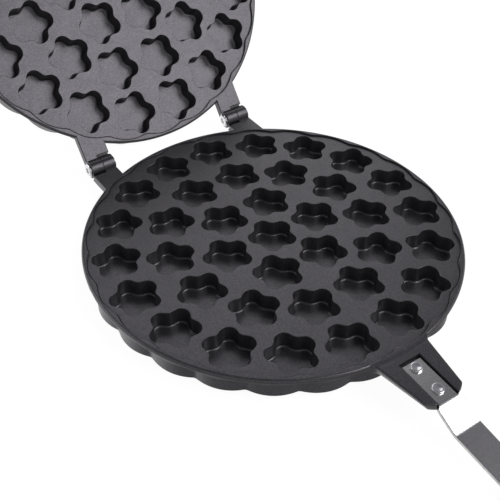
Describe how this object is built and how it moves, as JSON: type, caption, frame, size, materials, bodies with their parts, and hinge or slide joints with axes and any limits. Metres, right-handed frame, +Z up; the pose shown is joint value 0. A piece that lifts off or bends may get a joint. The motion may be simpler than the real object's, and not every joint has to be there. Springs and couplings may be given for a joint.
{
  "type": "egg waffle pan",
  "caption": "Hinged stove-top waffle pan: two round cast plates with flower-shaped cells, scalloped skirts, riveted strap handles and moulded grips, stored open.",
  "frame": {"origin": "centre of the lower plate's flat underside", "axes": "+Z up out of the cells, +Y towards the hinges, -Y towards the lower handle, +X to the right seen from the handle"},
  "size_m": [0.21, 0.6983, 0.3339],
  "materials": {
    "nonstick_cast": "near-black half-matt non-stick coating on cast aluminium, finely speckled",
    "stainless": "satin stainless strap with polished bends",
    "rivet_steel": "bright plated",
    "pin_steel": "bright steel",
    "phenolic": "black moulded phenolic, half matt",
    "screw_steel": "zinc-plated steel"
  },
  "bodies": {
    "base": {"lower_plate": "nonstick_cast", "lower_strap": "stainless", "lower_strap_rivets": "rivet_steel", "lower_grip": "phenolic", "lower_grip_screw": "screw_steel", "left_hinge_pin": "pin_steel", "right_hinge_pin": "pin_steel"},
    "lid": {"upper_plate": "nonstick_cast", "upper_strap": "stainless", "upper_strap_rivets": "rivet_steel", "upper_grip": "phenolic", "upper_grip_screw": "screw_steel"}
  },
  "joints": [
    {"name": "lid_hinge", "type": "hinge", "parent": "base", "child": "lid", "pos_m": [0, 0.10905, 0.0126], "axis": [1, 0, 0], "range_deg": [0, 130.2]}
  ]
}
